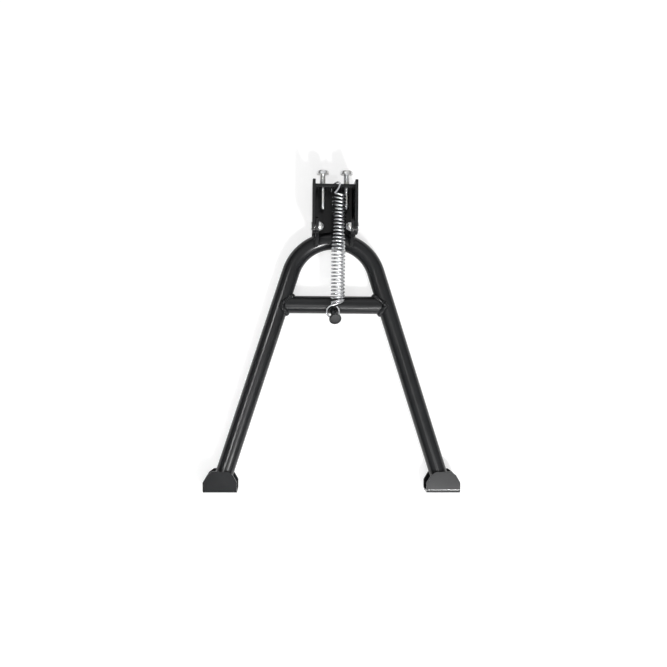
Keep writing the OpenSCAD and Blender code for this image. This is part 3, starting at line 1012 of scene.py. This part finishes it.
@dataclass
class ReturnSpring(Assembly):
    """The tension spring: one wire through a top eye, a close coil and a bottom eye."""

    body: ClassVar[Body] = Body.SPRING
    slot: ClassVar[Slot] = Slot.WIRE
    wire_r: float = 0.95 * MM
    coil_r: float = 6.25 * MM
    turns: int = 30
    start_deg: float = 230.0
    end_deg: float = 80.0
    lean_top: float = -5.0
    lean_end: float = 20.0
    lean_turns: float = 3.0
    turn_tips: tuple = (-1.6, 5.8)
    coil_top: tuple = (4.4 * MM, -9.8 * MM, -11.2 * MM)
    coil_foot_x: float = 3.5 * MM
    foot_gap: tuple = (-0.35 * MM, 1.75 * MM)
    step_deg: float = 7.5
    cols: int = 14
    end_share: float = 0.82
    top_eye_turn: float = math.radians(35)
    top_eye_lean: float = math.radians(19)
    top_eye_spot: tuple = (0.65 * MM, -8.5 * MM, 3.2 * MM)
    top_eye_deg: tuple = (218, -20)
    bottom_eye_deg: tuple = (110, 415)
    bar_clear: float = 0.65 * MM
    peg_clear: float = 0.3 * MM
    peg_shift: float = -0.5 * MM
    bend_pull: float = 2.5 * MM
    hook: tuple = (0.65 * MM, -8.3 * MM, -1.5 * MM)
    folded_share: float = 0.817

    def bottom_eye(self) -> np.ndarray:
        """Centre of the bottom eye: just in front of the crossbar, with the wire under the peg.

        Returns:
            The point.
        """
        front = BAR_R + self.wire_r + self.bar_clear
        seat = PEG_R + self.wire_r + self.peg_clear
        drop = -(seat + front * math.sin(PEG_PITCH)) / math.cos(PEG_PITCH)
        across = front / math.cos(PEG_PITCH) * math.tan(PEG_LEAN) + PEG_ROOT[0]
        return np.array([across + self.peg_shift, BAR_Y - front, BAR_Z + drop + self.coil_r])

    def top_axes(self) -> tuple[np.ndarray, np.ndarray]:
        """The top eye's own directions: out of the hole and up."""
        turn, lean = self.top_eye_turn, self.top_eye_lean
        out = np.array([math.sin(turn), -math.cos(turn), 0])
        return out, unit(np.array([math.tan(lean), math.tan(lean) * math.tan(turn), 1]))

    def top_ring(self, deg: np.ndarray) -> np.ndarray:
        """Points on the top eye: centre + coil_r * (cos a * out + sin a * up).

        Args:
            deg: Angles a.

        Returns:
            The points.
        """
        out, up = self.top_axes()
        x, y, z = self.top_eye_spot
        centre = np.array([x, y, z - self.wire_r - self.coil_r * up[2]])
        a = np.radians(deg)[:, None]
        return centre + self.coil_r * (np.cos(a) * out + np.sin(a) * up)

    def coil(self, turned: np.ndarray) -> np.ndarray:
        """Points on the coil.

        The axis runs evenly from the top to the bottom. The wire goes round it at the start angle
        plus the angle turned. Each strand rises across the coil by the tangent of a lean that
        fades out over the first and the last few turns, and each turn is tipped up at the front by
        an angle that changes evenly down the coil.

        Args:
            turned: Degrees turned from the coil's first point.

        Returns:
            The points.
        """
        eye = self.bottom_eye()
        y, z = eye[1] - self.coil_r + self.foot_gap[0], eye[2] + self.coil_r + self.foot_gap[1]
        end = np.array([self.coil_foot_x, y, z])
        total = self.total()
        t, a = (turned / total)[:, None], np.radians(self.start_deg + turned)
        lean = self.lean_top * ease(1 - turned / 360 / self.lean_turns)
        lean += self.lean_end * ease(1 - (total - turned) / 360 / self.lean_turns)
        tip = np.interp(turned / total, [0, 1], self.turn_tips)
        tip = tip * ease(turned / 360) * ease((total - turned) / 360)
        across, aft = self.coil_r * np.cos(a), self.coil_r * np.sin(a)
        rise = across * np.tan(np.radians(lean)) - aft * np.tan(np.radians(tip))
        wave = np.stack([across, aft, rise], -1)
        return np.array(self.coil_top) * (1 - t) + end * t + wave

    def total(self) -> float:
        """Degrees from the coil's first point to its last."""
        return 360.0 * self.turns + 360 + self.end_deg - self.start_deg

    def bottom_ring(self, deg: np.ndarray) -> np.ndarray:
        """Points on the bottom eye: centre + coil_r * (cos a, 0, sin a)."""
        a = np.radians(deg)
        return self.bottom_eye() + self.coil_r * np.stack([np.cos(a), 0 * a, np.sin(a)], -1)

    def bend(self, before: np.ndarray, after: np.ndarray) -> np.ndarray:
        """Cubic curve from the end of one run of wire to the start of the next.

        Args:
            before: The run before, whose last two points give the curve's first direction.
            after: The run after, whose first two points give its last direction.

        Returns:
            Points between the two, without the ends.
        """
        p, q = before[-1], after[0]
        u, v = unit(before[-1] - before[-2]), unit(after[1] - after[0])
        t = np.linspace(0, 1, 16)[1:-1, None]
        s = 1 - t
        return (s**3 * p + 3 * s * s * t * (p + self.bend_pull * u)
                + 3 * s * t * t * (q - self.bend_pull * v) + t**3 * q)

    def build(self) -> None:
        """The wire, swept along eye, bend, coil, bend and eye. Each run has its own side vector,
        square to its ring, and the bends mix their neighbours' vectors."""
        top = self.top_ring(np.linspace(*self.top_eye_deg, 60))
        coil = self.coil(np.linspace(0, self.total(), int(self.total() / self.step_deg) + 1))
        end = self.bottom_ring(np.linspace(*self.bottom_eye_deg, 72))
        runs = [top, self.bend(top, coil), coil, self.bend(coil, end), end]
        sides = [np.cross(*self.top_axes()), np.array([0, 0, 1.0]), np.array([0, -1.0, 0])]
        t = np.linspace(0, 1, len(runs[1]))[:, None]
        mixes = [before * (1 - t) + after * t for before, after in zip(sides, sides[1:])]
        vectors = [sides[0], mixes[0], sides[1], mixes[1], sides[2]]
        path = np.concatenate(runs)
        side = np.concatenate([np.broadcast_to(v, run.shape) for v, run in zip(vectors, runs)])
        radius = np.full(len(path), self.wire_r)
        radius[[0, -1]] *= self.end_share
        piece = self.add("coil_spring", sweep(path, side, radius, self.cols), 50, "return_spring")
        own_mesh(piece)


# Studio


@dataclass
class SoftLamp:
    """One soft lamp. It points at the stand's middle, or at a spot of its own."""

    name: str
    way: tuple
    distance: float
    size: tuple
    level: float
    spot: tuple = (0.0, 0.0, -0.15)
    beam_deg: float = 180.0

    def build(self) -> None:
        """Puts the lamp in place. Its power is level * pi squared * distance squared, which gives
        a white surface that faces it the brightness of the level, or more in a narrow beam."""
        light = bpy.data.lights.new(self.name, "AREA")
        light.shape = "RECTANGLE"
        light.size, light.size_y = self.size
        light.energy = self.level * math.pi**2 * self.distance**2
        light.spread = math.radians(self.beam_deg)
        obj = put(self.name, light)
        way = Vector(self.way).normalized()
        obj.location = Vector(self.spot) + way * self.distance
        obj.rotation_euler = way.to_track_quat("Z", "Y").to_euler()
        obj.visible_camera = False


@dataclass
class Studio:
    """Camera, lamps, paper and sky."""

    eye: tuple = (-35.8 * MM, -838.2 * MM, -149.4 * MM)
    aim: tuple = (0.5 * MM, 11 * MM, -149.4 * MM)
    roll: float = math.radians(0.45)
    lens: float = 44.9
    paper_y: float = 22.9 * MM
    paper_half: float = 3.0
    sky: float = 0.36
    sky_front: float = 0.85
    sky_sides: tuple = (0.15, 0.4)
    lamps: list = field(default_factory=lambda: [
        SoftLamp("left_lamp", (-0.38, -0.92, 0.12), 1.5, (0.07, 0.07), 0.16),
        SoftLamp("left_leg_lamp", (-0.369, -0.929, -0.049), 1.5, (0.07, 0.28), 0.0013,
                 (-0.1, 0, -0.24), 12.0),
        SoftLamp("low_lamp", (0.29, -0.785, -0.55), 1.0, (0.08, 0.08), 0.7),
        SoftLamp("bar_lamp", (0.04, -0.7, -0.7), 0.985, (0.2, 0.05), 0.16),
        SoftLamp("leg_lamp", (-0.03, -0.97, -0.25), 1.0, (0.1, 0.45), 0.06),
        SoftLamp("right_fill", (0.26, -0.84, -0.32), 0.935, (0.2, 0.2), 0.045),
        SoftLamp("shoe_lamp", (0.18, -0.25, -0.47), 0.562, (0.2, 0.3), 0.22),
        SoftLamp("top_lamp", (0.1, -0.5, 0.86), 1.6, (1.2, 1.2), 0.1),
    ])

    def build(self) -> None:
        """Builds the studio."""
        scene = bpy.context.scene
        scene.view_settings.view_transform = "Standard"
        data = bpy.data.cameras.new("camera")
        data.lens, data.sensor_width = self.lens, 36.0
        data.clip_start, data.clip_end = 0.01, 50.0
        camera = put("camera", data)
        look = (Vector(self.aim) - Vector(self.eye)).to_track_quat("-Z", "Y").to_matrix().to_4x4()
        roll = Matrix.Rotation(self.roll, 4, "Z")
        camera.matrix_world = Matrix.Translation(self.eye) @ look @ roll
        scene.camera = camera
        for lamp in self.lamps:
            lamp.build()
        self.build_paper()
        self.build_sky()

    def build_paper(self) -> None:
        """The paper that the stand lies on, as a wide sheet square to the view."""
        mesh = bpy.data.meshes.new("paper")
        h, y = self.paper_half, self.paper_y
        mesh.from_pydata([(-h, y, -h), (h, y, -h), (h, y, h), (-h, y, h)], [], [(0, 1, 2, 3)])
        mesh.materials.append(Paper().material())
        paper = put("paper", mesh)
        paper.visible_shadow = False
        paper.visible_diffuse = False

    def build_sky(self) -> None:
        """A pale sky: even for matt surfaces and white to the camera. Gloss and glass see a pale
        wall in front, behind the camera, and a dimmer room at the sides, darkest on the left."""
        sheet = NodeSheet(bpy.data.worlds.new("sky"))
        path = sheet.add("LightPath").outputs
        heading = sheet.add("TexCoord").outputs["Generated"]
        way = sheet.add("SeparateXYZ", Vector=heading).outputs
        sides = sheet.span(way["X"], (-0.6, 0.6), self.sky_sides)
        mirrored = sheet.mix(sheet.span(way["Y"], (-0.85, -0.35)), self.sky_front, sides)
        rays = {"i0": path["Is Glossy Ray"], "i1": path["Is Transmission Ray"]}
        glossy = sheet.add("Math", {"operation": "MAXIMUM"}, **rays).outputs[0]
        level = sheet.mix(glossy, self.sky, mirrored)
        level = sheet.mix(path["Is Camera Ray"], level, 1.0)
        glow = sheet.add("Background", Strength=level)
        sheet.add("OutputWorld", Surface=glow.outputs[0])
        bpy.context.scene.world = sheet.owner


def main() -> None:
    logging.basicConfig(level=logging.INFO, format="%(name)s: %(message)s")
    Studio().build()
    finishes = make_finishes()
    for kind in (LegFrame, SpringPeg, MountBracket, ReturnSpring):
        kind(finishes).build()
        LOG.info("%s built", kind.__name__)


if __name__ == "__main__":
    main()
